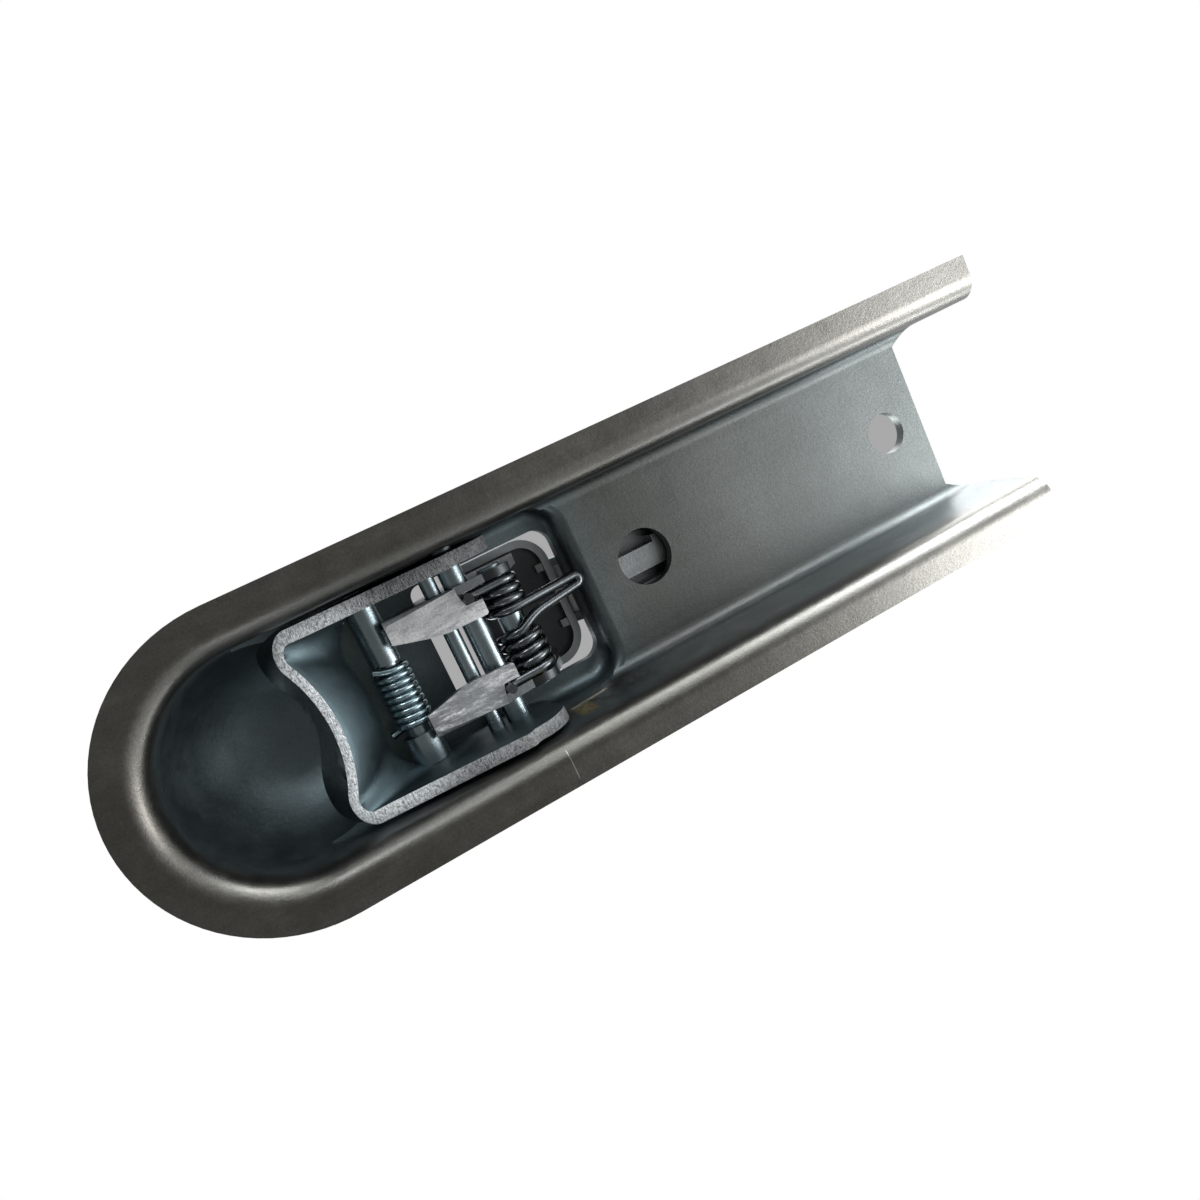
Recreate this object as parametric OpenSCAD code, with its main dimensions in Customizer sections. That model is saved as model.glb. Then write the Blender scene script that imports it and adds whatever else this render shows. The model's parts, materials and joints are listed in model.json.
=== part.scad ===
/* Straight tongue ball coupler, seen from below in its working attitude.
   Units are millimetres.
   X points to the nose, Y to the left, Z up.
   The origin is the centre of the ball socket.
   Each sub-part is a module in place; nothing is moved after it is made. */

/* [Body pressing] */
// half width over the outward turned rim
rim_half = 40; // [38:0.5:42]
// sheet thickness of the body pressing
body_t = 3.5; // [3:0.1:4]
// height of the rim underside below the ball centre
rim_drop = 14; // [12:0.5:16]
// radius of the ball seat in the nose
seat_r = 26.4; // [26:0.1:26.8]
// length from the ball centre to the rear end of the walls
tail_len = 224.5; // [222:0.5:230]

/* [Bolt holes] */
// distance of the front bolt hole behind the ball centre
front_hole_x = 111.2; // [108:0.1:115]
// diameter of the front bolt hole
front_hole_d = 16.5; // [14:0.1:17.5]
// distance of the rear bolt hole behind the ball centre
rear_hole_x = 201; // [196:0.1:204]
// diameter of the rear bolt hole
rear_hole_d = 12.8; // [10.5:0.1:14]

/* [Jaw] */
// sheet thickness of the jaw
jaw_t = 3.5; // [3:0.1:3.6]
// radius of the jaw seat that hooks under the ball
jaw_seat_r = 25.6; // [25.4:0.1:26]
// sheet thickness where the jaw seat is drawn thin
jaw_seat_t = 2.6; // [2.4:0.1:3]

/* [Lever] */
// sheet thickness of the lever
lever_t = 2.4; // [2:0.1:2.6]
// half width of the lever tail
lever_tail_half = 10.2; // [9.5:0.1:12]
// length from the ball centre to the tip of the lever
lever_tip_x = 190; // [180:1:192]

/* [Springs] */
// wire diameter of the jaw spring
jaw_wire = 2; // [1.8:0.1:2.1]
// turns of the jaw spring
jaw_turns = 9; // [7:1:9]
// wire diameter of the lever spring
lever_wire = 2.7; // [2.4:0.1:2.7]
// turns of the lever spring on the left of its loop
left_turns = 4; // [3:1:4]
// turns of the lever spring on the right of its loop
right_turns = 5; // [4:1:5]

/* [Hidden] */
$fn = 64;
e = 0.01;
// flank of the walls: half width at the rim bend and at the top
wall_low = 28.2;
wall_top = 27.2;
bend_in = 2.5;
bend_out = bend_in + body_t;
bend_z = bend_out - rim_drop;
bend_y = wall_low + bend_out;
rim_top = body_t - rim_drop;
// underside of the tongue plate and of the raised ceiling
plate_z = 17;
plate_r = 3.8;
roof_z = 25.8;
roof_r = 4;
roof_corner = 8;
roof_rear = -91;
roof_front = -8;
roof_front_corner = 14;
// softer neck that joins the raised ceiling to the ball seat
neck_rear = -34;
neck_front = 3;
neck_corner = 18;
neck_r = 16;
// the seat is this much wider than its radius at the sides
seat_ease = 1.1;
// lever opening in the raised ceiling
slot_rear = -89.7;
slot_front = -46.7;
slot_half = 20.5;
// hinge pin shared by the jaw and the lever
hinge_x = -57.5;
hinge_z = 13;
hinge_r = 3.4;
run_gap = 0.05;
// cross pin of the jaw
cross_x = -32.2;
cross_z = 15.5;
cross_r = 3.3;
// link rod tied to the jaw
rod_x = -50.7;
rod_z = 12;
rod_r = 2.2;
// arbor of the lever spring
arbor_x = -67.4;
arbor_z = 14;
arbor_r = 3.6;
// jaw widths, from the walls that it moves between
jaw_gap = 0.6;
jaw_out = wall_top - jaw_gap;
jaw_in = jaw_out - jaw_t;
// round corners of the jaw and its front edge
jaw_corner = 6.5;
jaw_front = -7.8;
// lever widths
lever_out = 17;
lever_in = lever_out - lever_t;
// head of the lever: top, lower edge, rear edge, half width and corner
head_top = 36.8;
head_low = 31.6;
head_rear = -88.5;
head_half = 19.8;
head_r = 9;
// tail of the lever: root, start of the raised tip, web, lower edge and tip
tail_root = -103;
tail_kick = -168;
tail_web = 31;
tail_low = 21.8;
tail_tip = 40;
// strip under the web of the tail
strip_t = 1.8;
strip_low = tail_low + 0.2;
strip_h = tail_web - lever_t - strip_low;
foot_slope = 0.156;
// legs of the lever spring, inside the lever's cheeks
leg_y = lever_in - 0.15 - lever_wire / 2;

// shared helpers

// round bar along Y between two stations
module bar_y(x, z, r, y0, y1) {
    translate([x, y1, z]) rotate([90, 0, 0]) cylinder(r = r, h = y1 - y0);
}

// side view outline turned upright and given a width along Y
module side_slab(y0, y1) {
    translate([0, y1, 0]) rotate([90, 0, 0]) linear_extrude(height = y1 - y0) children();
}

// cross section given a length along X
module run_x(x0, x1) {
    translate([x0, 0, 0]) rotate([90, 0, 90]) linear_extrude(height = x1 - x0) children();
}

// round bar between two points
module rod_between(a, b, r) {
    d = b - a;
    l = norm(d);
    translate(a) rotate([0, acos(d[2] / l), atan2(d[1], d[0])]) cylinder(r = r, h = l);
}

// block with a rounded top edge and corners round in plan, rc behind and rf in front
module pan(x0, x1, w, z0, z1, rc, rf, re) {
    run_x(x0 + rc, x1 - rf) {
        translate([-w, z0]) square([2 * w, z1 - re - z0]);
        translate([re - w, z0]) square([2 * (w - re), z1 - z0]);
        for (s = [-1, 1]) translate([s * (w - re), z1 - re]) circle(r = re);
    }
    pan_end(x0, w, z0, z1, rc, re);
    translate([x1, 0, 0]) mirror([1, 0, 0]) pan_end(0, w, z0, z1, rf, re);
}

// rear end of such a block
module pan_end(x0, w, z0, z1, rc, re) {
    side_slab(rc - w, w - rc) {
        translate([x0, z0]) square([rc + 1, z1 - re - z0]);
        translate([x0 + re, z0]) square([rc + 1 - re, z1 - z0]);
        translate([x0 + re, z1 - re]) circle(r = re);
    }
    for (s = [-1, 1]) translate([x0 + rc, s * (w - rc), 0])
        rotate([0, 0, s > 0 ? 90 : 180]) rotate_extrude(angle = 90) {
            translate([0, z0]) square([rc, z1 - re - z0]);
            translate([0, z0]) square([rc - re, z1 - z0]);
            intersection() {
                translate([rc - re, z1 - re]) circle(r = re);
                translate([0, z0]) square([rc, z1 - z0]);
            }
        }
}

// upper half of a ball, eased outwards at the sides
module dome(r) {
    rotate_extrude() intersection() {
        union() {
            translate([seat_ease, 0]) circle(r = r);
            square([seat_ease, r]);
        }
        square([r + 2, r + 1]);
    }
}

// body pressing

// outer outline of the channel, with the turned rim
module channel_out() {
    for (m = [0, 1]) mirror([m, 0]) {
        translate([0, -rim_drop]) square([rim_half, body_t]);
        difference() {
            polygon([[0, -rim_drop], [bend_y, -rim_drop], [bend_y, bend_z],
                     [wall_low + body_t, bend_z], [wall_top + body_t, plate_z - plate_r],
                     [0, plate_z - plate_r]]);
            translate([bend_y, bend_z]) circle(r = bend_in);
        }
        square([wall_top - plate_r, plate_z + body_t]);
        translate([wall_top - plate_r, plate_z - plate_r]) circle(r = plate_r + body_t);
    }
}

// hollow of the channel below the plate
module channel_in() {
    for (m = [0, 1]) mirror([m, 0]) {
        difference() {
            polygon([[-e, -rim_drop - 1], [bend_y, -rim_drop - 1], [bend_y, bend_z],
                     [wall_low, bend_z], [wall_top, plate_z - plate_r], [-e, plate_z - plate_r]]);
            translate([bend_y, bend_z]) circle(r = bend_out);
        }
        translate([-e, -rim_drop]) square([wall_top - plate_r + e, plate_z + rim_drop]);
        translate([wall_top - plate_r, plate_z - plate_r]) circle(r = plate_r);
    }
}

// half section of the nose, outside
module nose_out() {
    translate([0, -rim_drop]) square([rim_half, body_t]);
    difference() {
        polygon([[0, -rim_drop], [bend_y, -rim_drop], [bend_y, bend_z],
                 [wall_low + body_t, bend_z], [seat_r + seat_ease + body_t, 0], [0, 0]]);
        translate([bend_y, bend_z]) circle(r = bend_in);
    }
}

// half section of the nose, inside
module nose_in() {
    difference() {
        polygon([[0, -rim_drop - 1], [bend_y, -rim_drop - 1], [bend_y, bend_z],
                 [wall_low, bend_z], [seat_r + seat_ease, 0], [0, 0]]);
        translate([bend_y, bend_z]) circle(r = bend_out);
    }
}

// rounded edge where the plate turns up to the raised ceiling
module step_edge() {
    rs = body_t;
    translate([roof_rear - rs, plate_z - e]) difference() {
        square([rs + e, rs + e]);
        translate([0, rs + e]) circle(r = rs);
    }
}

module coupler_body() {
    color("lightgray") difference() {
        union() {
            run_x(-tail_len, 0) channel_out();
            rotate([0, 0, -90]) rotate_extrude(angle = 180) nose_out();
            dome(seat_r + body_t);
            pan(roof_rear - body_t, roof_front + body_t, wall_top + body_t, 0,
                roof_z + body_t, roof_corner + body_t, roof_front_corner + body_t, roof_r + body_t);
            pan(neck_rear - body_t, neck_front + body_t, wall_top + body_t, 0,
                roof_z + body_t, neck_corner + body_t, neck_corner + body_t, neck_r + body_t);
        }
        run_x(-tail_len - 1, neck_front - neck_corner) channel_in();
        run_x(-30, 0) intersection() {
            channel_in();
            translate([-60, -30]) square([120, 36]);
        }
        rotate([0, 0, -90]) rotate_extrude(angle = 180) nose_in();
        dome(seat_r);
        pan(roof_rear, roof_front, wall_top, 4, roof_z, roof_corner, roof_front_corner, roof_r);
        pan(neck_rear, neck_front, wall_top, 4, roof_z, neck_corner, neck_corner, neck_r);
        side_slab(roof_corner - wall_top, wall_top - roof_corner) step_edge();
        // lever opening
        translate([0, 0, roof_z - 8]) linear_extrude(height = 20) {
            translate([slot_rear + 5, -slot_half]) square([slot_front - slot_rear - 8, 2 * slot_half]);
            translate([slot_rear, 5 - slot_half]) square([10, 2 * slot_half - 10]);
            for (s = [-1, 1]) translate([slot_rear + 5, s * (slot_half - 5)]) circle(r = 5);
            translate([slot_front - 6, 3 - slot_half]) square([6, 2 * slot_half - 6]);
            for (s = [-1, 1]) translate([slot_front - 3, s * (slot_half - 3)]) circle(r = 3);
        }
        // bolt holes
        translate([-front_hole_x, 0, 0]) cylinder(d = front_hole_d, h = 40);
        translate([-rear_hole_x, 0, 0]) cylinder(d = rear_hole_d, h = 40);
        // hinge pin holes
        bar_y(hinge_x, hinge_z, hinge_r + run_gap, -50, 50);
        // rear ends of the walls are cut with a round corner
        side_slab(-50, 50) difference() {
            translate([-tail_len - 2, plate_z - 10]) square([12, 40]);
            translate([-tail_len + 10, plate_z - 10]) circle(r = 10);
        }
    }
}

module hinge_pin() {
    color("silver") {
        bar_y(hinge_x, hinge_z, hinge_r, -wall_top - body_t - 1, wall_top + body_t + 1);
        for (s = [-1, 1]) bar_y(hinge_x, hinge_z, 6, min(s * 31, s * 33.2), max(s * 31, s * 33.2));
    }
}

// jaw

function jaw_floor(x) = 0.16 * x - 0.3;

// side view of one jaw cheek
module cheek_side() {
    polygon([[jaw_front, jaw_floor(jaw_front)], [-51.8, jaw_floor(-51.8)], [-56.2, -7.1], [hinge_x, 3],
             [hinge_x, 21.6], [-34, 21.4], [-31.9, 21.2], [-28, 20], [-14, 11], [jaw_front, 6]]);
    translate([hinge_x, 3]) circle(r = 10.2);
    translate([hinge_x, hinge_z]) circle(r = 8.8);
    translate([cross_x, cross_z]) circle(r = 6);
}

module jaw() {
    color("silver") difference() {
        intersection() {
            union() {
                for (s = [-1, 1]) translate([0, s * (jaw_in + jaw_t / 2), 0])
                    side_slab(-jaw_t / 2, jaw_t / 2) cheek_side();
                // front wall, a bowl turned about an upright axis ahead of the jaw
                translate([21, 0, 0]) rotate([0, 0, 180]) rotate_extrude() difference() {
                    intersection() {
                        translate([17.65, 17.8]) circle(r = jaw_seat_r + jaw_seat_t);
                        translate([28, -12]) square([30, 25]);
                    }
                    translate([17.65, 17.8]) circle(r = jaw_seat_r);
                }
            }
            // plan outline with round front corners
            translate([0, 0, -20]) linear_extrude(height = 60) {
                translate([-80, -jaw_out]) square([80 + jaw_front - jaw_corner, 2 * jaw_out]);
                translate([-80, jaw_corner - jaw_out]) square([80 + jaw_front, 2 * (jaw_out - jaw_corner)]);
                for (s = [-1, 1]) translate([jaw_front - jaw_corner, s * (jaw_out - jaw_corner)])
                    circle(r = jaw_corner);
            }
            // floor of the jaw, sloping down to the rear
            side_slab(-40, 40) polygon([[10, jaw_floor(10)], [-80, jaw_floor(-80)], [-80, 40], [10, 40]]);
        }
        bar_y(hinge_x, hinge_z, hinge_r + run_gap, -40, 40);
        bar_y(cross_x, cross_z, cross_r + run_gap, -40, 40);
        bar_y(rod_x, rod_z, rod_r + run_gap, -40, 40);
    }
}

module cross_pin() {
    color("silver") bar_y(cross_x, cross_z, cross_r, -jaw_out - 0.3, jaw_out + 0.3);
}

module sleeve_left() {
    color("silver") difference() {
        bar_y(cross_x, cross_z, 4.3, 6.1, jaw_in - 0.1);
        bar_y(cross_x, cross_z, cross_r + run_gap, 0, 40);
    }
}

module sleeve_right() {
    color("silver") difference() {
        bar_y(cross_x, cross_z, 5, -jaw_in + 0.1, -14.4);
        bar_y(cross_x, cross_z, cross_r + run_gap, -40, 0);
    }
}

module jaw_spring() {
    r = cross_r + 0.15 + jaw_wire / 2;
    p = jaw_wire;
    color("silver") {
        for (i = [0 : jaw_turns - 1]) translate([cross_x, 4.3 - i * p, cross_z])
            rotate([90, 0, 0]) rotate_extrude($fn = 32)
                translate([r, 0]) circle(r = jaw_wire / 2 + 0.03, $fn = 14);
        rod_between([cross_x, 4.3, cross_z - r], [cross_x + 6, 4.9, cross_z - r], jaw_wire / 2);
        rod_between([cross_x, 4.3 - (jaw_turns - 1) * p, cross_z - r],
                    [cross_x + 6, 3.6 - (jaw_turns - 1) * p, cross_z - r], jaw_wire / 2);
    }
}

module link_rod() {
    color("silver") bar_y(rod_x, rod_z, rod_r, -jaw_out, jaw_out);
}

// lever

// side view of one lever cheek
module lever_side() {
    difference() {
        union() {
            polygon([[-35.2, 8.1], [-55.4, 4.95], [-55.4, 6.6], [-62, 8.2], [-70, 10.4], [-73.6, 13.6],
                     [-76.4, 20], [-79, head_low], [-79, head_top], [-60, head_top],
                     [-58.6, head_top - 0.6], [-58.2, head_top - 1.8],
                     [-58.2, 31], [-59.4, 29.5], [-56.5, 27.5], [-50, 24.4], [-48.2, 23.6],
                     [-45.4, 19.4], [-41, 14], [-37.8, 10.8], [-35.2, 10.4]]);
            translate([arbor_x, arbor_z]) circle(r = arbor_r + 2.4);
        }
        translate([hinge_x, hinge_z]) circle(r = hinge_r + run_gap);
        translate([arbor_x, arbor_z]) circle(r = arbor_r + run_gap);
        // slot that lets the jaw lag behind the lever
        translate([hinge_x, hinge_z]) intersection() {
            difference() {
                circle(r = 9.4);
                circle(r = 4.4);
            }
            polygon([[0, 0], [12, -6.6], [14, 0], [12, 4]]);
        }
        translate([rod_x, rod_z]) circle(r = rod_r + 0.3);
    }
}

// outline of one foot, seen from below
module foot_plan() {
    polygon([[-35.2, 10.3], [-45, 7.7], [-49.5, 7.1], [-60.4, 7.1], [-60.9, 7.6], [-60.9, 11.4],
             [-56.4, 11.5], [-55.4, 15], [-55.4, lever_out - 0.2], [-36.2, 15.6], [-35.2, 14.4]]);
}

module lever() {
    color("lightsteelblue") {
        for (s = [-1, 1]) {
            difference() {
                side_slab(min(s * lever_in, s * lever_out), max(s * lever_in, s * lever_out)) lever_side();
                // rounded outer edge of the bend
                mirror([0, s < 0 ? 1 : 0, 0]) translate([-60, 0, 8.1 - foot_slope * 24.8])
                    rotate([0, -atan(foot_slope), 0]) run_x(0, 30) difference() {
                        translate([lever_out - 2, -1]) square([3, 3]);
                        translate([lever_out - 2, 2]) circle(r = 2);
                    }
            }
            // inward turned foot
            intersection() {
                mirror([0, s < 0 ? 1 : 0, 0]) linear_extrude(height = 20) foot_plan();
                side_slab(-30, 30) polygon([[-30, 8.91], [-65, 3.45], [-65, 5.8], [-30, 11.26]]);
            }
        }
        // head: web and skirt over the opening
        side_slab(-lever_out, lever_out) polygon([[-62, head_top], [-60, head_top], [-58.6, head_top - 0.6],
            [-58.2, head_top - 1.8], [-58.2, 31], [-58.2 - lever_t, 31],
            [-58.2 - lever_t, head_top - lever_t - 1], [-61.2, head_top - lever_t],
            [-62, head_top - lever_t]]);
        difference() {
            head_plan(head_top - head_low) square_head(head_half, head_r, head_rear);
            head_hollow() square_head(head_half - lever_t, head_r - lever_t, head_rear + lever_t);
        }
        lever_tail();
    }
}

// rounded outline of the head
module square_head(w, r, x0) {
    translate([x0 + r, -w]) square([-61 - x0 - r, 2 * w]);
    translate([x0, r - w]) square([r + 1, 2 * (w - r)]);
    for (s = [-1, 1]) translate([x0 + r, s * (w - r)]) circle(r = r);
}

module head_plan(h) {
    translate([0, 0, head_low]) linear_extrude(height = h) children();
}

module head_hollow() {
    translate([0, 0, head_low - 1]) linear_extrude(height = head_top - lever_t - head_low + 1) children();
}

// side view of the tail: web line with a downward flange
module tail_side_out() {
    polygon([[-84, head_top], [head_rear - 0.5, head_top], [tail_root, tail_web], [tail_kick, tail_web],
             [-lever_tip_x, tail_tip], [-lever_tip_x, tail_tip - lever_t], [tail_kick, tail_low + 0.6],
             [tail_kick + 4, tail_low], [tail_root + 5, tail_low], [head_rear, head_low], [-84, 33]]);
}

module tail_side_in() {
    polygon([[-80, head_top - lever_t], [head_rear, head_top - lever_t],
             [tail_root + 0.5, tail_web - lever_t], [tail_kick - 0.5, tail_web - lever_t],
             [-lever_tip_x - 1, tail_tip - lever_t + 0.3], [-lever_tip_x - 1, 10], [-80, 10]]);
}

module lever_tail() {
    difference() {
        side_slab(-lever_tail_half, lever_tail_half) tail_side_out();
        side_slab(lever_t - lever_tail_half, lever_tail_half - lever_t) tail_side_in();
    }
}

// strip inside the tail, open towards the web
module lever_strip() {
    color("lightsteelblue") difference() {
        union() {
            translate([tail_kick + 8, -4.6, strip_low]) cube([43, 9, strip_h]);
            translate([tail_kick + 51 - e, -4.6, strip_low]) cube([21, 7, strip_h]);
        }
        translate([tail_kick + 7, -2.8, strip_low + strip_t]) cube([66, 4.6, strip_h]);
    }
}

module spring_arbor() {
    color("silver") {
        bar_y(arbor_x, arbor_z, arbor_r, -lever_out - 0.8, lever_out + 0.8);
    }
}

module lever_spring() {
    r = arbor_r + 0.15 + lever_wire / 2;
    w = lever_wire / 2;
    p = lever_wire - 0.05;
    low = arbor_z - r;
    left_end = leg_y - (left_turns - 1) * p;
    right_end = (right_turns - 1) * p - leg_y;
    color("dimgray") {
        for (i = [0 : left_turns - 1]) spring_ring(leg_y - i * p, r, w);
        for (i = [0 : right_turns - 1]) spring_ring(i * p - leg_y, r, w);
        // legs that hook into the notches of the feet
        for (s = [-1, 1]) {
            rod_between([arbor_x, s * leg_y, low], [-57, s * leg_y, 7.9], w);
            translate([-57.4, s * leg_y, 2]) cylinder(r = w - 0.05, h = 6);
        }
        // loop that bears on the step
        rod_between([arbor_x, left_end, low], [-89.2, 5, 14.2], w);
        rod_between([arbor_x, right_end, low], [-89.2, 2.2, 14.2], w);
        bar_y(-88.8, 14.2, w + 0.05, 0.9, 6.3);
    }
}

module spring_ring(y, r, w) {
    translate([arbor_x, y, arbor_z]) rotate([90, 0, 0]) rotate_extrude($fn = 32)
        translate([r, 0]) circle(r = w + 0.03, $fn = 14);
}

coupler_body();
hinge_pin();
lever();
lever_strip();
spring_arbor();
lever_spring();
jaw();
cross_pin();
sleeve_left();
sleeve_right();
jaw_spring();
link_rod();
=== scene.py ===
import bpy, bmesh, json, math
from mathutils import Euler, Matrix, Vector

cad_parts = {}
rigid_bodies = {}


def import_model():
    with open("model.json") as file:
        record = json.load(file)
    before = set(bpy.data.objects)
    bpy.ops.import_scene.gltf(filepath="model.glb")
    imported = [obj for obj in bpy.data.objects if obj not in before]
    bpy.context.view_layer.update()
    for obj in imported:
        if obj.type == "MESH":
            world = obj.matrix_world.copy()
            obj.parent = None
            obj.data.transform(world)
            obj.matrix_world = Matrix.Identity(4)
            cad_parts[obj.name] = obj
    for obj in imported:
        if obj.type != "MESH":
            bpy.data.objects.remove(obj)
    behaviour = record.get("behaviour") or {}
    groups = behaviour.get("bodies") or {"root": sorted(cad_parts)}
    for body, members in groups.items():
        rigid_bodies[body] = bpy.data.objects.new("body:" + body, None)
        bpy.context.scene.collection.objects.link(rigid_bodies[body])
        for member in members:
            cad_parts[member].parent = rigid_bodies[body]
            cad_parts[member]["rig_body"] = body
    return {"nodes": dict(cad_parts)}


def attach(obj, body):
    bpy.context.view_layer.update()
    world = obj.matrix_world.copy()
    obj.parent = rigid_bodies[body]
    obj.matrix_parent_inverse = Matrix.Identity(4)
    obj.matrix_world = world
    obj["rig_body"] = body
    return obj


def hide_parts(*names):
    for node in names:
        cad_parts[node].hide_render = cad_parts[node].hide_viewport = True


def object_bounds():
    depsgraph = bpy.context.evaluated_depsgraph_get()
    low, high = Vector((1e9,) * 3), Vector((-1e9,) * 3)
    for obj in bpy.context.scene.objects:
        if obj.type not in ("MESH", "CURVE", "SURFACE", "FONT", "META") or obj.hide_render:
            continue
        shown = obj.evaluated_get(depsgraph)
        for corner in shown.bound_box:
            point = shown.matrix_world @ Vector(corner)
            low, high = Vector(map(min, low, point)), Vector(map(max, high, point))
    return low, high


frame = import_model()
nodes = frame["nodes"]
cad_box = [list(corner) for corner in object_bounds()]
# the jaw, the lip, the springs and the camera's place are given in millimetres, everything else in metres
MM = 0.001
# depth in metres of the fine relief of plated faces and of sheared edges
PLATING_RELIEF = 0.0006
CUT_RELIEF = 0.0008


# shader node helpers

def put(tree, kind, links=None, **values):
    """Add a node, set its properties and default values, and link its inputs."""
    node = tree.nodes.new(kind)
    for key, value in values.items():
        if hasattr(node, key):
            setattr(node, key, value)
        else:
            node.inputs[key.replace("_", " ")].default_value = value
    for key, source in (links or {}).items():
        tree.links.new(source, node.inputs[key])
    return node


def math_node(tree, operation, a, b=0.0, c=0.0):
    """One arithmetic step on numbers or sockets."""
    node = put(tree, "ShaderNodeMath", operation=operation)
    for index, value in enumerate((a, b, c)):
        if isinstance(value, bpy.types.NodeSocket):
            tree.links.new(value, node.inputs[index])
        else:
            node.inputs[index].default_value = value
    return node.outputs[0]


def about_zero(tree, value):
    """Noise that swings round a half, moved to swing round zero."""
    return math_node(tree, "SUBTRACT", value, 0.5)


def noise(tree, vector, scale, detail=3.0, roughness=0.55, stretch=(1, 1, 1)):
    """Noise in space; a larger number in stretch packs it closer along that axis."""
    mapping = put(tree, "ShaderNodeMapping", {"Vector": vector}, Scale=stretch)
    node = put(tree, "ShaderNodeTexNoise", {"Vector": mapping.outputs["Vector"]},
               Scale=scale, Detail=detail, Roughness=roughness)
    return node.outputs["Fac"]


def ramp(tree, value, low, high, to_low=0.0, to_high=1.0):
    """Ease from one result to another while the value goes from low to high."""
    node = put(tree, "ShaderNodeMapRange", {"Value": value}, interpolation_type="SMOOTHSTEP",
               From_Min=low, From_Max=high, To_Min=to_low, To_Max=to_high)
    return node.outputs["Result"]


def near(tree, value, centre, full, gone):
    """1 within a distance of a place along one axis, fading to 0."""
    apart = math_node(tree, "ABSOLUTE", math_node(tree, "SUBTRACT", value, centre))
    return ramp(tree, apart, full, gone, 1.0, 0.0)


def both(tree, *masks):
    """Where all of these masks meet."""
    mask = masks[0]
    for other in masks[1:]:
        mask = math_node(tree, "MULTIPLY", mask, other)
    return mask


def mix_color(tree, factor, a, b, blend="MIX"):
    """Mix two colours, each given by a socket or by three numbers."""
    node = put(tree, "ShaderNodeMix", data_type="RGBA", blend_type=blend)
    for label, value in (("Factor", factor), ("A", a), ("B", b)):
        socket = node.inputs[label]
        if isinstance(value, bpy.types.NodeSocket):
            tree.links.new(value, socket)
        elif label == "Factor":
            socket.default_value = value
        else:
            socket.default_value = (*value, 1.0)
    return [socket for socket in node.outputs if socket.type == "RGBA"][0]


def object_axes(tree):
    """Object coordinates: the vector, then x, y and z."""
    where = put(tree, "ShaderNodeTexCoord").outputs["Object"]
    place = put(tree, "ShaderNodeSeparateXYZ", {"Vector": where})
    return where, place.outputs["X"], place.outputs["Y"], place.outputs["Z"]


def shade_by(tree, factor, first, second, output):
    """Show the second shader where the factor is 1, and the first elsewhere."""
    mix = put(tree, "ShaderNodeMixShader", {0: factor, 1: first.outputs[0], 2: second.outputs[0]})
    put(tree, output, {"Surface": mix.outputs[0]})


# shared finishes: node groups that put out colour, roughness and height

def new_finish(name, inputs):
    """An empty group with inputs given as label, kind and default, and the sockets that read them."""
    group = bpy.data.node_groups.new(name, "ShaderNodeTree")
    for label, kind, default in inputs:
        socket = group.interface.new_socket(name=label, in_out="INPUT", socket_type=kind)
        socket.default_value = default
    for label, kind in (("Color", "NodeSocketColor"), ("Roughness", "NodeSocketFloat"),
                        ("Height", "NodeSocketFloat")):
        group.interface.new_socket(name=label, in_out="OUTPUT", socket_type=kind)
    return group, put(group, "NodeGroupInput").outputs


def build_plating():
    """Zinc plating: soft cloudy tone, fine speckle, rolling streaks and small pits."""
    group, given = new_finish("plating_finish", [
        ("Tone", "NodeSocketColor", (0.5, 0.5, 0.5, 1)),
        ("Cloud Tone", "NodeSocketColor", (0.4, 0.4, 0.4, 1)),
        ("Cloud Amount", "NodeSocketFloat", 0.5),
        ("Roughness", "NodeSocketFloat", 0.4),
        ("Streaks", "NodeSocketFloat", 0.3),
        ("Speckle", "NodeSocketFloat", 0.3)])
    where = put(group, "ShaderNodeTexCoord").outputs["Object"]
    clouds = noise(group, where, 22, 4, 0.6)
    fine_clouds = noise(group, where, 140, 4, 0.6)
    streaks = noise(group, where, 60, 5, 0.65, stretch=(0.15, 6, 6))
    speckle = noise(group, where, 1700, 2, 0.6)
    pits = noise(group, where, 700, 3, 0.7)

    amount = math_node(group, "MULTIPLY", ramp(group, clouds, 0.35, 0.68), given["Cloud Amount"])
    color = mix_color(group, amount, given["Tone"], given["Cloud Tone"])
    shade = math_node(group, "MULTIPLY_ADD", about_zero(group, speckle), given["Speckle"], 1.0)
    shade = math_node(group, "MULTIPLY_ADD", about_zero(group, streaks), given["Streaks"], shade)
    shade = math_node(group, "MULTIPLY_ADD", about_zero(group, fine_clouds), 0.16, shade)
    color = mix_color(group, 1.0, color, shade, "MULTIPLY")

    half_streaks = math_node(group, "MULTIPLY", given["Streaks"], 0.5)
    rough = math_node(group, "MULTIPLY_ADD", about_zero(group, fine_clouds), 0.22, given["Roughness"])
    rough = math_node(group, "MULTIPLY_ADD", about_zero(group, streaks), half_streaks, rough)
    height = math_node(group, "MULTIPLY_ADD", pits, 0.5, math_node(group, "MULTIPLY", speckle, 0.35))
    height = math_node(group, "MULTIPLY_ADD", clouds, 1.6, height)
    put(group, "NodeGroupOutput", {"Color": color, "Roughness": rough, "Height": height})
    return group


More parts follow.
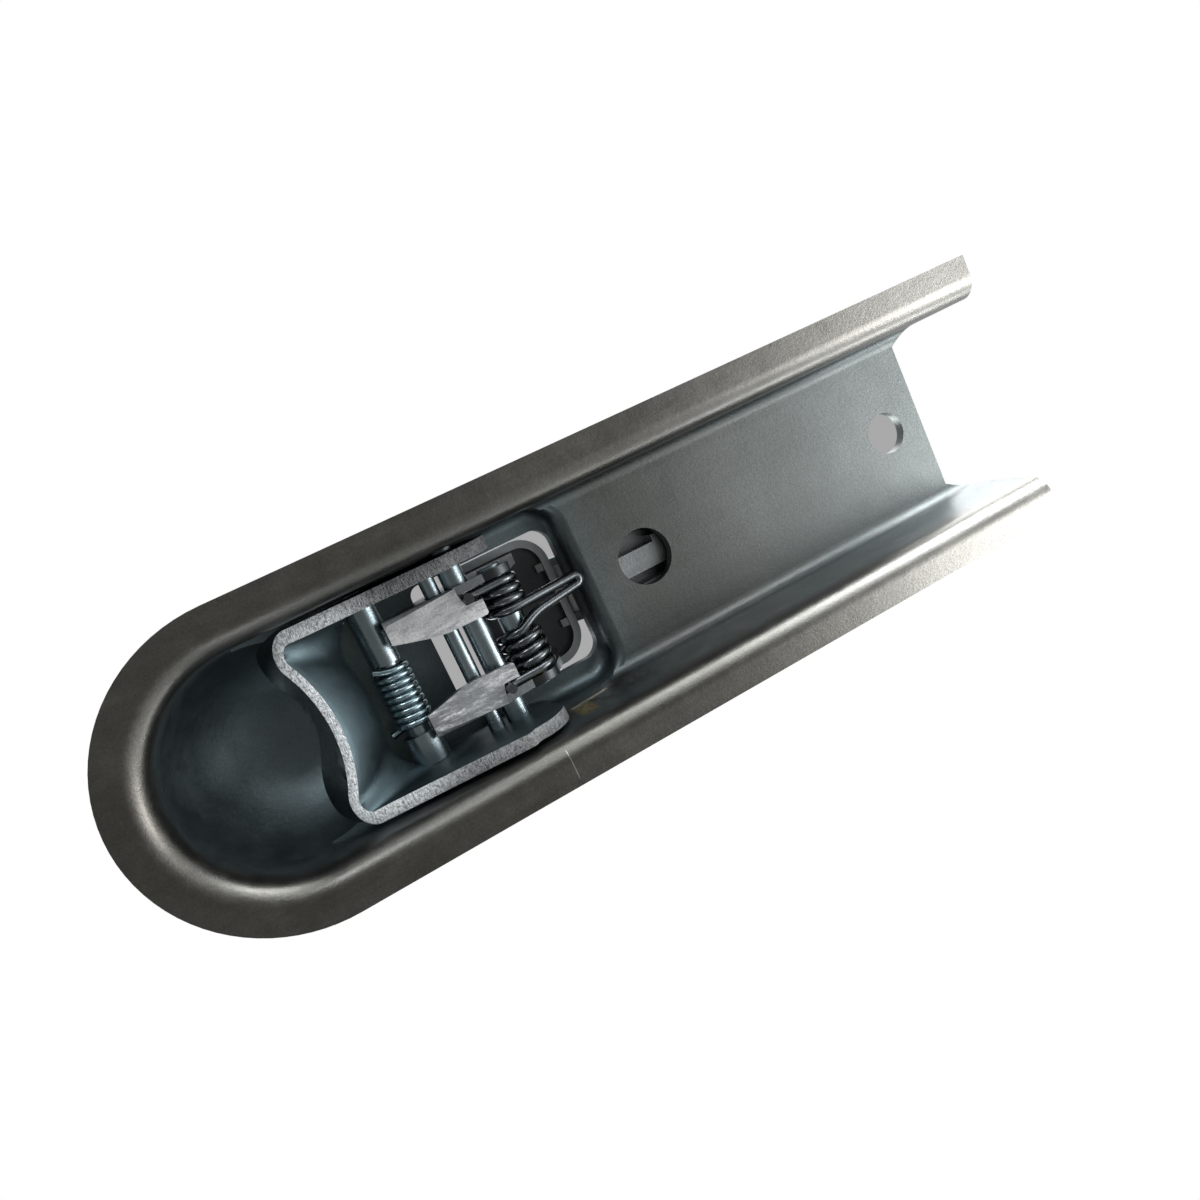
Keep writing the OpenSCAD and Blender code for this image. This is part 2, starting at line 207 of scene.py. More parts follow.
def build_sheared():
    """Cut edge of a sheet: short ridges across the thickness and torn grain."""
    group, given = new_finish("sheared_edge", [
        ("Tone", "NodeSocketColor", (0.75, 0.76, 0.77, 1)),
        ("Grain", "NodeSocketFloat", 0.6)])
    where = put(group, "ShaderNodeTexCoord").outputs["Object"]
    torn = noise(group, where, 1500, 3, 0.7)
    ridges = noise(group, where, 700, 4, 0.7, stretch=(3.0, 0.8, 0.6))
    relief = math_node(group, "MULTIPLY_ADD", torn, 0.5, math_node(group, "MULTIPLY", ridges, 0.5))
    darkest = math_node(group, "SUBTRACT", 1.0, given["Grain"])
    shade = math_node(group, "MULTIPLY_ADD", ramp(group, relief, 0.36, 0.6), given["Grain"], darkest)
    color = mix_color(group, 1.0, given["Tone"], shade, "MULTIPLY")
    rough = ramp(group, torn, 0.3, 0.7, 0.3, 0.55)
    height = math_node(group, "MULTIPLY_ADD", ridges, 0.7, math_node(group, "MULTIPLY", torn, 0.5))
    put(group, "NodeGroupOutput", {"Color": color, "Roughness": rough, "Height": height})
    return group


# materials

def empty_material(name):
    """A material without nodes, and its tree."""
    mat = bpy.data.materials.new(name)
    mat.use_nodes = True
    mat.node_tree.nodes.clear()
    return mat, mat.node_tree


def metal(name, group, bump, relief, metallic=1.0, **values):
    """A metal with a shared finish; returns it with its node tree and the inputs of the finish."""
    mat, tree = empty_material(name)
    finish = put(tree, "ShaderNodeGroup", node_tree=group, **values)
    bumps = put(tree, "ShaderNodeBump", {"Height": finish.outputs["Height"]}, Strength=bump, Distance=relief)
    links = {"Base Color": finish.outputs["Color"], "Roughness": finish.outputs["Roughness"],
             "Normal": bumps.outputs["Normal"]}
    shader = put(tree, "ShaderNodeBsdfPrincipled", links, Metallic=metallic)
    put(tree, "ShaderNodeOutputMaterial", {"Surface": shader.outputs[0]})
    return mat, tree, finish.inputs


def plated(name, tone, cloud, amount, rough, streaks, speckle):
    """Plain plated metal with darker clouds over its tone."""
    mat, _tree, _inputs = metal(
        name, plating, 0.15, PLATING_RELIEF, Tone=(*tone, 1), Cloud_Tone=(*cloud, 1),
        Cloud_Amount=amount, Roughness=rough, Streaks=streaks, Speckle=speckle)
    return mat


def worn_marks(tree, axes, tone):
    """Old grease and scuffs beside the lever's cheeks, and one scratch across the right rim."""
    where, x, y, z = axes
    across = math_node(tree, "ABSOLUTE", y)
    walls = both(tree, ramp(tree, across, 0.0245, 0.0258), ramp(tree, across, 0.0290, 0.0286))
    right_wall = both(tree, walls, ramp(tree, y, -0.020, -0.024))

    grease = both(tree, near(tree, x, -0.080, 0.009, 0.020), near(tree, z, 0.007, 0.003, 0.012))
    blotches = ramp(tree, noise(tree, where, 420, 4, 0.7), 0.40, 0.58)
    grease = math_node(tree, "MULTIPLY", both(tree, grease, right_wall, blotches), 0.8)
    tone = mix_color(tree, grease, tone, (0.075, 0.062, 0.036))

    drop = both(tree, near(tree, x, -0.0732, 0.0014, 0.0036), near(tree, z, 0.004, 0.002, 0.008))
    ragged = ramp(tree, noise(tree, where, 700, 3, 0.7), 0.38, 0.46)
    drop = math_node(tree, "MULTIPLY", both(tree, drop, right_wall, ragged), 0.6)
    tone = mix_color(tree, drop, tone, (0.60, 0.45, 0.19))

    # the scuffs run along a line that falls towards the nose
    along = math_node(tree, "MULTIPLY_ADD", x, 0.19, z)
    scuff = both(tree, near(tree, x, -0.0765, 0.005, 0.0070), near(tree, along, -0.0046, 0.0005, 0.0014))
    grain = ramp(tree, noise(tree, where, 900, 3, 0.7, stretch=(0.5, 1, 3)), 0.40, 0.55)
    tone = mix_color(tree, both(tree, scuff, walls, grain), tone, (0.72, 0.68, 0.58))

    scratch = both(tree, near(tree, x, -0.0602, 0.00003, 0.00014), near(tree, y, -0.0343, 0.0034, 0.0044))
    scratch = both(tree, scratch, ramp(tree, z, -0.0118, -0.0130))
    return mix_color(tree, math_node(tree, "MULTIPLY", scratch, 0.5), tone, (0.70, 0.68, 0.64))


def build_body_material():
    """Brownish dull plating on the rims, clearer in the channel and bluish round the latch; painted shade
    darkens it by the latch and painted light brightens it towards the rear end.
    """
    mat, tree, finish = metal("body_plating", plating, 0.15, PLATING_RELIEF,
                              Cloud_Amount=0.7, Streaks=0.22, Speckle=0.55)
    axes = object_axes(tree)
    _where, x, y, z = axes
    # painted light and shade: rims, channel and right wall each go from a darker tone by the latch to a
    # lighter one at the rear end
    rearward = ramp(tree, x, -0.10, -0.215)
    rims = mix_color(tree, rearward, (0.108, 0.105, 0.096), (0.330, 0.325, 0.305))
    channel = mix_color(tree, rearward, (0.112, 0.117, 0.113), (0.178, 0.195, 0.195))
    painted_light_wall = mix_color(tree, rearward, (0.25, 0.265, 0.265), (0.34, 0.365, 0.37))
    # painted light: the right wall's inner face behind the latch gets a lighter tone than the channel
    inner_face = both(tree, ramp(tree, y, -0.0255, -0.0270), ramp(tree, y, -0.0290, -0.0286))
    behind_latch = ramp(tree, x, -0.070, -0.110)
    channel = mix_color(tree, both(tree, inner_face, behind_latch), channel, painted_light_wall)
    inside = mix_color(tree, ramp(tree, x, -0.108, -0.080), channel, (0.128, 0.160, 0.170))
    tone = mix_color(tree, ramp(tree, z, -0.010, -0.002), rims, inside)
    tone = worn_marks(tree, axes, tone)
    tree.links.new(tone, finish["Tone"])
    tree.links.new(mix_color(tree, 1.0, tone, (0.78, 0.78, 0.78), "MULTIPLY"), finish["Cloud Tone"])
    tree.links.new(ramp(tree, z, -0.012, -0.004, 0.35, 0.45), finish["Roughness"])
    return mat


def build_foot_material():
    """Bright plating of the lever's turned feet, smeared dark by rubbing; the right foot is darkened further
    as painted shade.
    """
    mat, tree, finish = metal("foot_plating", plating, 0.5, PLATING_RELIEF, 0.3,
                              Cloud_Tone=(0.40, 0.415, 0.43, 1), Cloud_Amount=0.75, Roughness=0.36,
                              Streaks=0.5, Speckle=0.6)
    where, _x, y, _z = object_axes(tree)
    smears = noise(tree, where, 260, 5, 0.8, stretch=(0.4, 1.6, 1))
    # painted shade: the right foot gets more of the dark smears
    right_foot_painted_shade = ramp(tree, y, 0.004, -0.004, 0.0, 0.14)
    smears_and_painted_shade = ramp(tree, math_node(tree, "ADD", smears, right_foot_painted_shade), 0.44, 0.70)
    tree.links.new(mix_color(tree, smears_and_painted_shade, (1.0, 1.0, 1.0), (0.22, 0.23, 0.245)), finish["Tone"])
    return mat


def build_cut_material():
    """Sheared edge of the jaw: bright round the seat, duller along the cheeks."""
    mat, tree, finish = metal("sheared_jaw_edge", sheared, 0.8, CUT_RELIEF, 0.45, Grain=0.7)
    _where, x, y, _z = object_axes(tree)
    cheeks = mix_color(tree, ramp(tree, y, -0.005, 0.005), (0.24, 0.25, 0.255), (0.15, 0.155, 0.16))
    tone = mix_color(tree, ramp(tree, x, -0.020, -0.040), (0.76, 0.79, 0.81), cheeks)
    tree.links.new(tone, finish["Tone"])
    return mat


plating = build_plating()
sheared = build_sheared()
body_mat = build_body_material()
jaw_mat = plated("jaw_plating", (0.068, 0.094, 0.104), (0.050, 0.072, 0.081), 0.6, 0.45, 0.3, 0.2)
lever_mat = plated("lever_plating", (0.30, 0.32, 0.33), (0.22, 0.24, 0.25), 0.5, 0.34, 0.3, 0.2)
pin_mat = plated("pin_plating", (0.22, 0.265, 0.285), (0.15, 0.19, 0.21), 0.4, 0.28, 0.2, 0.1)
coil_mat = plated("coil_plating", (0.26, 0.34, 0.37), (0.17, 0.24, 0.27), 0.5, 0.26, 0.2, 0.1)
wire_mat = plated("oiled_wire", (0.11, 0.12, 0.125), (0.06, 0.066, 0.07), 0.6, 0.22, 0.3, 0.1)
# painted shade: a dark plating for the lever's hollow head and the faces behind its feet
lever_shade_mat = plated("painted_shade_inside", (0.06, 0.065, 0.068), (0.03, 0.032, 0.034), 0.6, 0.36, 0.3, 0.2)
foot_mat = build_foot_material()
cut_mat = build_cut_material()


# mesh helpers

def add_object(name, data):
    """A new object in the scene."""
    made = bpy.data.objects.new(name, data)
    bpy.context.scene.collection.objects.link(made)
    return made


def dress(piece, *mats):
    """Give a piece these materials and no others."""
    piece.data.materials.clear()
    for mat in mats:
        piece.data.materials.append(mat)


def turn_outwards(mesh, merge=0.0):
    """Join points nearer than the merge distance and turn the faces outwards."""
    work = bmesh.new()
    work.from_mesh(mesh)
    if merge:
        bmesh.ops.remove_doubles(work, verts=work.verts, dist=merge)
    bmesh.ops.recalc_face_normals(work, faces=work.faces)
    work.to_mesh(mesh)
    work.free()


def finish_shading(piece, angle):
    """Smooth faces, with edges sharper than the angle kept crisp."""
    mesh = piece.data
    mesh.polygons.foreach_set("use_smooth", [True] * len(mesh.polygons))
    work = bmesh.new()
    work.from_mesh(mesh)
    limit = math.radians(angle)
    for edge in work.edges:
        edge.smooth = len(edge.link_faces) == 2 and edge.calc_face_angle(0) < limit
    work.to_mesh(mesh)
    work.free()


def applied(piece):
    """Turn the evaluated object into a plain mesh and drop its modifiers."""
    evaluated = piece.evaluated_get(bpy.context.evaluated_depsgraph_get())
    mesh = bpy.data.meshes.new_from_object(evaluated)
    piece.modifiers.clear()
    piece.data = mesh


def break_edges(piece, width, angle):
    """Bevel the edges that turn more than an angle in degrees."""
    bevel = piece.modifiers.new("edges", "BEVEL")
    bevel.width = width
    bevel.segments = 2
    bevel.limit_method = "ANGLE"
    bevel.angle_limit = math.radians(angle)
    applied(piece)
    finish_shading(piece, 40)


def softened(node, width, *mats, pick=None, cutter=None):
    """A copy of a solid with its sharp edges broken, which stands for it."""
    mesh = bpy.data.meshes.new(node + "_worn")
    work = bmesh.new()
    work.from_mesh(nodes[node].data)
    bmesh.ops.remove_doubles(work, verts=work.verts, dist=0.000005)
    bmesh.ops.dissolve_limit(work, angle_limit=math.radians(0.4), verts=work.verts, edges=work.edges)
    work.to_mesh(mesh)
    work.free()
    piece = add_object(node + "_worn", mesh)
    if cutter:
        cut = piece.modifiers.new("lip", "BOOLEAN")
        cut.object = cutter
        cut.solver = "EXACT"
        applied(piece)
        bpy.data.objects.remove(cutter)
    break_edges(piece, width, 32)
    # large faces shade flat, and only the broken edges between them shade round
    weigh = piece.modifiers.new("weights", "WEIGHTED_NORMAL")
    weigh.keep_sharp = True
    weigh.weight = 100
    applied(piece)
    dress(piece, *mats)
    if pick:
        for face in piece.data.polygons:
            face.material_index = pick(face)
    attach(piece, nodes[node]["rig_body"])
    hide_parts(node)


# body: the step up to the raised ceiling has a rounded lip that fades into the walls

def build_lip_cutter():
    """What the rounded lip takes away from the plate round the rear corners of the raised ceiling."""
    corner, half, plate, rear = 8.0, 19.2, 17.0, -91.0
    lip, least, overlap = 3.5, 0.15, 0.4
    # stations along the lip: centre x and y, direction in degrees and radius of the lip there
    path = []
    for i in range(17):
        fade = i / 16
        size = least + (lip - least) * fade * fade * (3 - 2 * fade)
        path.append((rear + corner, half, 90 + 90 * fade, size))
    path += [(rear + corner, half * (1 - i / 4), 180, lip) for i in range(1, 8)]
    path += [(x, -half, 360 - angle, size) for x, _y, angle, size in reversed(path[:17])]
    verts, faces = [], []
    for x, y, angle, size in path:
        section = [(corner - overlap, plate - overlap), (corner + size, plate - overlap)]
        for i in range(9):
            a = math.radians(270 - 90 * i / 8)
            section.append((corner + size + size * math.cos(a), plate + size + size * math.sin(a)))
        section.append((corner - overlap, plate + size))
        turn = math.radians(angle)
        for reach, z in section:
            verts.append(((x + reach * math.cos(turn)) * MM, (y + reach * math.sin(turn)) * MM, z * MM))
    count = len(section)
    for i in range(len(path) - 1):
        for j in range(count):
            a, b = i * count + j, i * count + (j + 1) % count
            faces.append((a, b, b + count, a + count))
    faces.append(tuple(range(count)))
    faces.append(tuple(reversed(range(len(verts) - count, len(verts)))))
    mesh = bpy.data.meshes.new("lip_cutter")
    mesh.from_pydata(verts, [], faces)
    turn_outwards(mesh)
    return add_object("lip_cutter", mesh)


# pressed jaw: one sheet bent round both cheeks and the ball seat, in millimetres

# the hinge pin, the round boss about it and the round heel below it
HINGE_X, HINGE_Z = -57.5, 13.0
BOSS_R = 8.75
HEEL_R, HEEL_Z = 10.2, 3.0
JAW_REAR = HINGE_X - HEEL_R
JAW_HALF = 26.6
# the seat is turned about an upright axis at SEAT_X; its profile is an arc with this radius and centre
SEAT_X = 21.0
SEAT_R, SEAT_OUT, SEAT_Z = 25.6, 17.65, 17.8
SEAT_LOW, SEAT_HIGH = -6.5, 13.0
CHEEK_SHEET, SEAT_SHEET = 3.6, 2.8
# the corners between cheeks and seat have this radius at the lower edge and widen upwards
JAW_CORNER, CORNER_Z, CORNER_RISE = 6.5, -2, 0.5


def hinge_arc(radius, x):
    """How far a circle about the hinge's x reaches up or down there."""
    return math.sqrt(max(radius ** 2 - (x - HINGE_X) ** 2, 0))


def seat_radius(z):
    """Distance of the seat's outer skin from its axis."""
    return SEAT_OUT + math.sqrt(SEAT_R ** 2 - (SEAT_Z - max(z, SEAT_LOW)) ** 2)


def cheek_low(x):
    """Lower edge: a sloping line, and the round heel behind it."""
    if x > -56:
        return 0.16 * x - 0.3
    return HEEL_Z - hinge_arc(HEEL_R, x)


def cheek_high(x):
    """Upper edge: the heel, the boss, and a line that falls to the seat."""
    if x <= HINGE_X - 8.7:
        return HEEL_Z + hinge_arc(HEEL_R, x)
    if x < HINGE_X:
        return HINGE_Z + hinge_arc(BOSS_R, x)
    points = [(HINGE_X, HINGE_Z + BOSS_R), (-34, 21.4), (-28, 19.8), (-20, 15.5), (-14, SEAT_HIGH)]
    for (a, za), (b, zb) in zip(points, points[1:]):
        if x <= b:
            return za + (zb - za) * (x - a) / (b - a)
    return SEAT_HIGH


def jaw_point(station, z, inner, side):
    """A point in plan. Stations 0 to 1 run along a cheek, 1 to 2 round its corner, 2 to 3 to the middle."""
    thinned = max(0.0, min(1.0, (station - 0.9) / 0.9))
    sheet = CHEEK_SHEET - (CHEEK_SHEET - SEAT_SHEET) * thinned if inner else 0.0
    corner = JAW_CORNER + CORNER_RISE * (z - CORNER_Z)
    radius = seat_radius(z)
    corner_y = JAW_HALF - corner
    corner_x = SEAT_X - math.sqrt((radius + corner) ** 2 - corner_y ** 2)
    if station <= 1:
        return JAW_REAR + (corner_x - JAW_REAR) * station, side * (JAW_HALF - sheet)
    if station <= 2:
        start = math.pi / 2
        angle = start + (math.atan2(-corner_y, SEAT_X - corner_x) - start) * (station - 1)
        r = corner - sheet
        return corner_x + r * math.cos(angle), side * (corner_y + r * math.sin(angle))
    start = math.atan2(corner_y, corner_x - SEAT_X)
    angle = start + (math.pi - start) * (station - 2)
    r = radius + sheet
    return SEAT_X + r * math.cos(angle), side * r * math.sin(angle)


def build_jaw():
    """An outer and an inner skin, each in rows from the lower edge to the upper one, joined by cut edges."""
    # stations crowd together over the round rear end of a cheek
    round_end, crowded, even = 0.13, 16, 34
    stations = [(i / crowded) ** 1.6 * round_end for i in range(crowded)]
    stations += [round_end + (1 - round_end) * i / even for i in range(even + 1)]
    stations += [1 + i / 12 for i in range(1, 13)] + [2 + i / 18 for i in range(1, 19)]
    line = [(s, 1) for s in stations] + [(s, -1) for s in reversed(stations[:-1])]
    rows = 14
    verts = []
    for inner in (False, True):
        for station, side in line:
            # the plan moves with height, so the lower edge is found step by step
            low = -1.0
            for _ in range(12):
                x, _y = jaw_point(station, low, inner, side)
                low = cheek_low(x)
            x, _y = jaw_point(station, 10, inner, side)
            high = cheek_high(x) if station <= 1.4 else SEAT_HIGH
            for row in range(rows + 1):
                z = low + (high - low) * row / rows
                x, y = jaw_point(station, min(z, SEAT_HIGH), inner, side)
                verts.append((x * MM, y * MM, z * MM))
    count, step = len(line), rows + 1
    skin = count * step
    plain, cut = [], []
    for i in range(count - 1):
        for a in range(i * step, i * step + rows):
            plain.append((a, a + step, a + step + 1, a + 1))
            plain.append((skin + a, skin + a + 1, skin + a + step + 1, skin + a + step))
        low, high = i * step, i * step + rows
        cut.append((low, skin + low, skin + low + step, low + step))
        cut.append((high, high + step, skin + high + step, skin + high))
    for i in (0, count - 1):
        cut += [(a, a + 1, skin + a + 1, skin + a) for a in range(i * step, i * step + rows)]
    mesh = bpy.data.meshes.new("jaw_pressing")
    mesh.from_pydata(verts, [], plain + cut)
    piece = add_object("jaw_pressing", mesh)
    dress(piece, jaw_mat, cut_mat)
    mesh.polygons.foreach_set("material_index", [0] * len(plain) + [1] * len(cut))
    turn_outwards(mesh, 0.00001)
    break_edges(piece, 0.0004, 40)
    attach(piece, "jaw")
    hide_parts("jaw")


# wire springs: a Geometry Nodes tree sweeps round wire along a path

def build_wire_tree():
    """Round wire along a path, with its radius, the sides of its section and its finish as inputs."""
    tree = bpy.data.node_groups.new("wire_sweep", "GeometryNodeTree")
    for label, kind in (("Path", "NodeSocketGeometry"), ("Wire Radius", "NodeSocketFloat"),
                        ("Sides", "NodeSocketInt"), ("Finish", "NodeSocketMaterial")):
        tree.interface.new_socket(name=label, in_out="INPUT", socket_type=kind)
    tree.interface.new_socket(name="Wire", in_out="OUTPUT", socket_type="NodeSocketGeometry")
    given = put(tree, "NodeGroupInput").outputs
    ring = put(tree, "GeometryNodeCurvePrimitiveCircle",
               {"Radius": given["Wire Radius"], "Resolution": given["Sides"]})
    sweep = put(tree, "GeometryNodeCurveToMesh",
                {"Curve": given["Path"], "Profile Curve": ring.outputs["Curve"]}, Fill_Caps=True)
    real = put(tree, "GeometryNodeRealizeInstances", {"Geometry": sweep.outputs["Mesh"]})
    paint = put(tree, "GeometryNodeSetMaterial",
                {"Geometry": real.outputs["Geometry"], "Material": given["Finish"]})
    put(tree, "NodeGroupOutput", {"Wire": paint.outputs["Geometry"]})
    return tree


def wire_piece(name, points, radius, mat, body, tree, sides):
    """Round wire along points given in millimetres, as a plain mesh."""
    curve = bpy.data.curves.new(name, "CURVE")
    curve.dimensions = "3D"
    spline = curve.splines.new("POLY")
    spline.points.add(len(points) - 1)
    for point, place in zip(spline.points, points):
        point.co = (*(Vector(place) * MM), 1)
    holder = add_object(name + "_path", curve)
    modifier = holder.modifiers.new("sweep", "NODES")
    modifier.node_group = tree
    values = {"Wire Radius": radius * MM, "Sides": sides, "Finish": mat}
    for item in tree.interface.items_tree:
        if item.item_type == "SOCKET" and item.in_out == "INPUT" and item.name in values:
            modifier[item.identifier] = values[item.name]
    bpy.context.view_layer.update()
    mesh = bpy.data.meshes.new_from_object(holder.evaluated_get(bpy.context.evaluated_depsgraph_get()))
    bpy.data.objects.remove(holder)
    turn_outwards(mesh)
    piece = add_object(name, mesh)
    finish_shading(piece, 50)
    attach(piece, body)
    return piece


def rounded(points, reach, count=7):
    """A line of points with its inner corners rounded."""
    points = [Vector(p) for p in points]
    line = [points[0]]
    for before, corner, after in zip(points, points[1:], points[2:]):
        trim = min(reach, (before - corner).length * 0.45, (after - corner).length * 0.45)
        start = corner + (before - corner).normalized() * trim
        end = corner + (after - corner).normalized() * trim
        for i in range(count):
            t = i / (count - 1)
            line.append((1 - t) ** 2 * start + 2 * t * (1 - t) * corner + t * t * end)
    line.append(points[-1])
    return line


def coil_points(x, z, radius, y_start, y_end, angle, turns, per_turn=30):
    """Helix about a line along Y, starting at an angle in degrees and turning the negative way."""
    count = round(turns * per_turn)
    line = []
    for i in range(count + 1):
        t = i / count
        a = math.radians(angle - 360 * turns * t)
        y = y_start + (y_end - y_start) * t
        line.append(Vector((x + radius * math.cos(a), y, z + radius * math.sin(a))))
    return line


def build_lever_spring(tree):
    """Double torsion spring on the arbor: a leg, a coil, the loop, a coil and a leg in one wire."""
    arbor_x, arbor_z, arbor_r = -67.4, 14.0, 3.6
    play, wire_r = 0.2, 1.35
    leg_x = -57.4
    tip_x, tip_y, tip_z = -88.0, 3.6, 14.0
    halves = []
    # each half: y of its leg, y where its coil ends, its turns and y of its side of the loop
    for leg_y, coil_y, turns, loop_y in ((-13.1, -1.5, 4, 2.2), (13.1, 4.9, 3, 4.95)):
        leg = rounded([(leg_x, leg_y, 1.9), (leg_x, leg_y, 7.6), (-60.5, leg_y, 8.25)], 2.4)
        coil = coil_points(arbor_x, arbor_z, arbor_r + play + wire_r, leg_y, coil_y, -92, turns)
        loop = rounded([coil[-1], (-73.5, 0.7 * loop_y + 0.3 * coil_y, 10.2), (tip_x, loop_y, tip_z)], 9)
        halves.append(leg + coil + loop[1:])
    bend = []
    for i in range(1, 8):
        along, across = math.sin(math.pi * i / 8), math.cos(math.pi * i / 8)
        bend.append(Vector((tip_x - 1.5 * along, tip_y - 1.4 * across, tip_z + 0.3 * along)))
    path = halves[0] + bend + list(reversed(halves[1]))
    spring = wire_piece("lever_torsion_spring", path, wire_r, wire_mat, "lever", tree, 14)
    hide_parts("lever_spring")


def build_jaw_spring(tree):
    """Torsion spring on the cross pin, with a short leg at each end."""
    pin_x, pin_z, pin_r = -32.2, 15.5, 3.3
    play, wire_r = 0.2, 0.98
    coil = coil_points(pin_x, pin_z, pin_r + play + wire_r, 4.4, -11.9, -90, 8.5)
    left_leg = rounded([(-27.8, 5.8, 11.6), (-29.4, 5.1, 11.3), (-31.4, 4.6, 11.0)], 1)
    right_leg = [coil[-1] + Vector((2.5, -0.25, 0)), coil[-1] + Vector((7.0, -0.9, -0.6))]
    path = left_leg + coil + right_leg
    spring = wire_piece("jaw_torsion_spring", path, wire_r, coil_mat, "jaw", tree, 12)
    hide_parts("jaw_spring")


# pieces

def lever_face(face):
    """The lowest faces of the lever are its bright feet; behind them and inside its head a dark plating is
    painted shade.
    """
    plain, foot, painted_shade = 0, 1, 2
    x, y, z = face.center
    down = -face.normal.z
    foot_top, foot_rear, notch_x = 0.0095, -0.0612, -0.0565
    foot_half = 0.0148 if x < notch_x else 0.0178
    if down > 0.35 and z < foot_top and x > foot_rear and abs(y) < foot_half:
        return foot
    behind_foot = down > 0.5 and z < 0.016 and -0.073 < x < -0.0560
    inside_head = down > 0.4 and z > 0.033 and x > -0.092
    return painted_shade if inside_head or behind_foot else plain


dress(nodes["hinge_pin"], pin_mat)
build_jaw()
wire_tree = build_wire_tree()
build_lever_spring(wire_tree)
build_jaw_spring(wire_tree)
softened("lever", 0.0003, lever_mat, foot_mat, lever_shade_mat, pick=lever_face)
softened("lever_strip", 0.0002, lever_mat)
for node, width in (("spring_arbor", 0.0003), ("cross_pin", 0.0003), ("link_rod", 0.0003),
                    ("sleeve_left", 0.0002), ("sleeve_right", 0.0002)):
    softened(node, width, pin_mat)
softened("coupler_body", 0.0004, body_mat, cutter=build_lip_cutter())


# stage, light and camera

def one_sided_sheet(name, z, x_span, y_span, paper, grey, faces_up=False):
    """Paper that only the camera sees, and only from the side it faces, so it never hides the part."""
    (x0, x1), (y0, y1) = x_span, y_span
    corners = [(x0, y0, z), (x1, y0, z), (x1, y1, z), (x0, y1, z)]
    mesh = bpy.data.meshes.new(name)
    mesh.from_pydata(corners, [], [(0, 1, 2, 3) if faces_up else (3, 2, 1, 0)])
    mat, tree = empty_material(name + "_paper")
    back = put(tree, "ShaderNodeNewGeometry").outputs["Backfacing"]
    front = put(tree, paper, Color=(grey, grey, grey, 1))
    shade_by(tree, back, front, put(tree, "ShaderNodeBsdfTransparent"), "ShaderNodeOutputMaterial")
    mesh.materials.append(mat)
    sheet = add_object(name, mesh)
    for ray in ("glossy", "diffuse", "transmission", "shadow", "volume_scatter"):
        setattr(sheet, "visible_" + ray, False)


# a pale floor for views from above, and white paper far behind for views from below
far = (-3, 3)
lowest = min(corner[2] for corner in cad_box)
one_sided_sheet("floor", lowest, far, far, "ShaderNodeBsdfDiffuse", 0.9, faces_up=True)
one_sided_sheet("backdrop", 0.13, far, far, "ShaderNodeEmission", 1.0)
# grey glowing paper as painted shade, seen through the rear bolt hole and round the lever's head;
# each shade lies close behind its hole, so that other views show little or nothing of it
for name, z, x_span, y_span in (("rear_hole_shade", 0.0225, (-0.2140, -0.1890), (-0.014, 0.012)),
                                ("opening_front_shade", 0.0305, (-0.0575, -0.0460), (-0.0225, 0.0215)),
                                ("opening_rear_shade", 0.0375, (-0.0930, -0.0790), (-0.0235, 0.0205))):
    one_sided_sheet(name, z, x_span, y_span, "ShaderNodeEmission", 0.40)


def build_room():
    """Grey surroundings, dimmer below, with a bright window behind the rear end; the camera sees white."""
    world = bpy.data.worlds.new("soft_room")
    bpy.context.scene.world = world
    world.use_nodes = True
    tree = world.node_tree
    tree.nodes.clear()
    direction = put(tree, "ShaderNodeTexCoord").outputs["Generated"]
    split = put(tree, "ShaderNodeSeparateXYZ", {"Vector": direction}).outputs
    room = mix_color(tree, ramp(tree, split["Z"], -0.9, -0.1), (0.29, 0.285, 0.275), (0.60, 0.64, 0.66))
    rearward = math_node(tree, "MULTIPLY", split["Y"], -0.37)
    rearward = math_node(tree, "MULTIPLY_ADD", split["X"], -0.93, rearward)
    room = mix_color(tree, ramp(tree, rearward, 0.2, 0.85), room, (1.5, 1.52, 1.53))
    room = mix_color(tree, ramp(tree, split["Z"], -0.1, 0.2), room, (0.62, 0.625, 0.63))
    seen = put(tree, "ShaderNodeLightPath").outputs["Is Camera Ray"]
    light = put(tree, "ShaderNodeBackground", {"Color": room}, Strength=1.0)
    white = put(tree, "ShaderNodeBackground", Color=(1, 1, 1, 1), Strength=1.0)
    shade_by(tree, seen, light, white, "ShaderNodeOutputWorld")


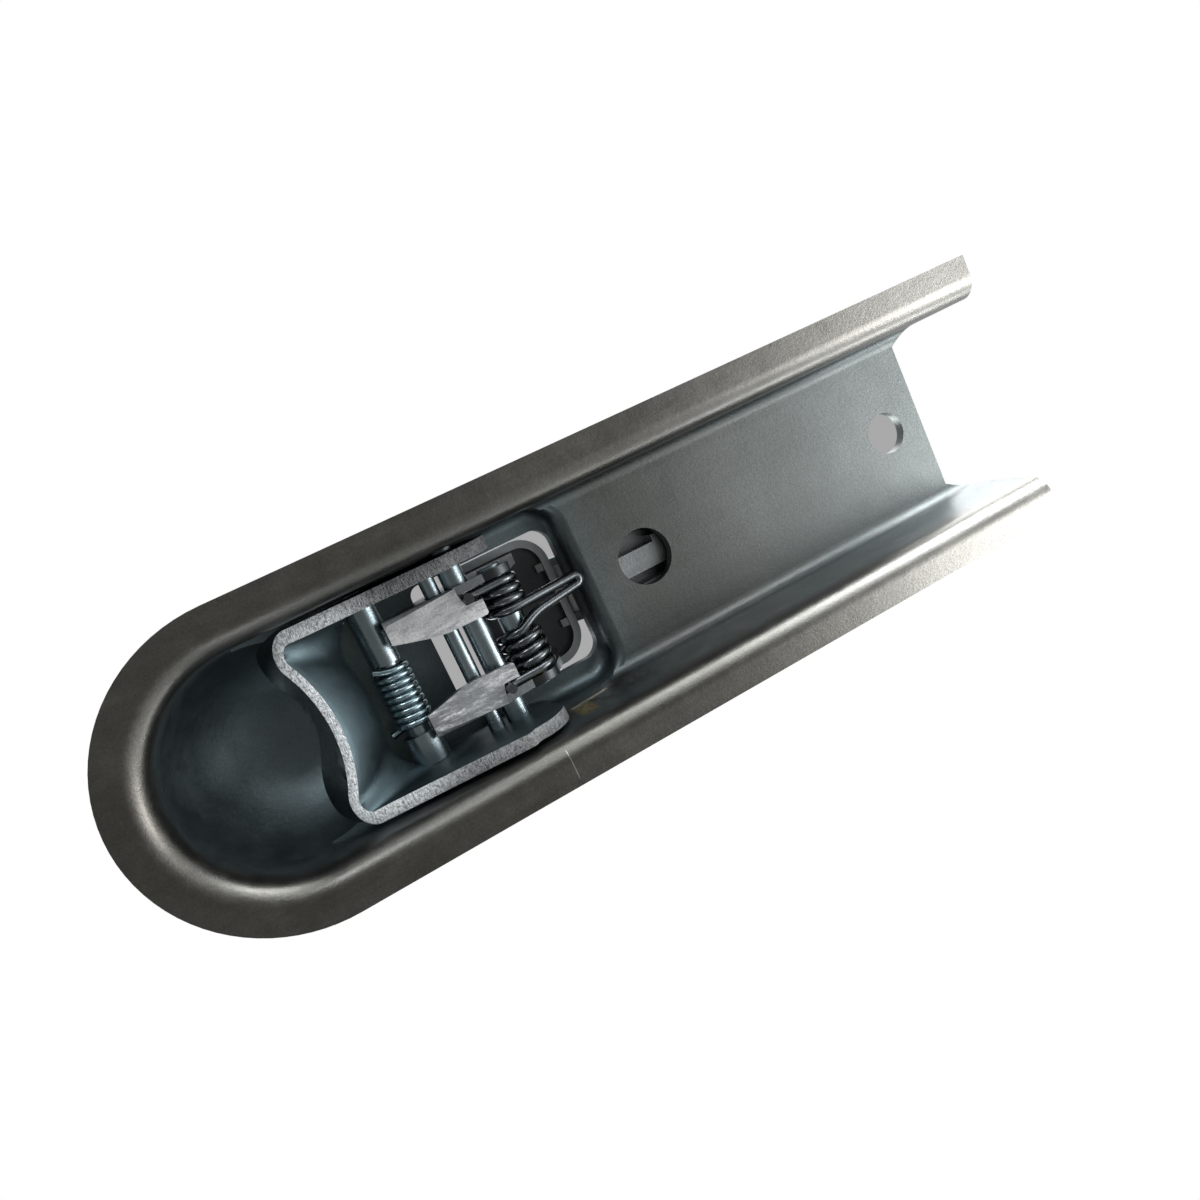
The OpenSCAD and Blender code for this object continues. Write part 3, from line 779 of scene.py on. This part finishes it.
def soft_lamp(name, place, target, size, power, color=(1, 1, 1)):
    """A rectangular lamp at a place, aimed at a target."""
    data = bpy.data.lights.new(name, "AREA")
    data.shape = "RECTANGLE"
    data.size, data.size_y = size
    data.energy = power
    data.color = color
    lamp = add_object(name, data)
    lamp.location = place
    lamp.rotation_euler = (Vector(target) - Vector(place)).to_track_quat("-Z", "Y").to_euler()


def build_camera():
    """The camera fitted to the photograph: below the part, looking up into its open side."""
    photo_width, focal_pixels = 1200, 980.03
    data = bpy.data.cameras.new("photo_camera")
    data.sensor_width = 36
    data.lens = focal_pixels * data.sensor_width / photo_width
    data.clip_start = 0.01
    camera = add_object("photo_camera", data)
    turns = Euler([math.radians(turn) for turn in (178.8780, 18.2332, -154.0834)])
    camera.matrix_world = Matrix.LocRotScale(Vector((-17.2371, 37.7615, -247.865)) * MM, turns, None)
    bpy.context.scene.camera = camera


build_room()
soft_lamp("rear_window", (-0.92, -0.26, -0.62), (-0.15, 0, 0), (0.5, 0.5), 3.6, (1.0, 0.99, 0.98))
soft_lamp("rear_low", (-0.95, -0.30, -0.42), (0, 0, 0), (0.4, 0.2), 2.2, (1.0, 0.99, 0.98))
soft_lamp("left_key", (-0.35, 0.60, -0.55), (-0.08, 0, 0), (0.6, 0.4), 1.6, (0.96, 0.98, 1.0))
soft_lamp("left_rear", (-0.58, 0.88, -0.14), (-0.13, -0.03, -0.01), (0.8, 0.4), 8.0, (0.97, 0.985, 1.0))
soft_lamp("left_wall", (-0.62, 0.70, -0.40), (-0.14, -0.03, 0), (0.6, 0.25), 3.0, (0.95, 0.98, 1.0))
soft_lamp("left_nose", (0.20, 0.80, -0.60), (0, 0, 0.01), (0.3, 0.2), 3.2, (0.93, 0.97, 1.0))
soft_lamp("right_nose", (0.20, -0.80, -0.57), (0, 0, 0.01), (0.3, 0.2), 1.0, (0.93, 0.97, 1.0))
soft_lamp("right_low", (-0.60, -0.88, -0.06), (-0.12, 0, 0), (0.6, 0.2), 2.4, (0.96, 0.98, 1.0))
soft_lamp("top_key", (0.3, -0.7, 0.9), (-0.1, 0, 0), (0.6, 0.6), 9.0)
soft_lamp("top_fill", (-0.7, 0.6, 0.7), (-0.1, 0, 0), (0.8, 0.8), 6.0)
build_camera()
bpy.context.scene.view_settings.view_transform = "Standard"
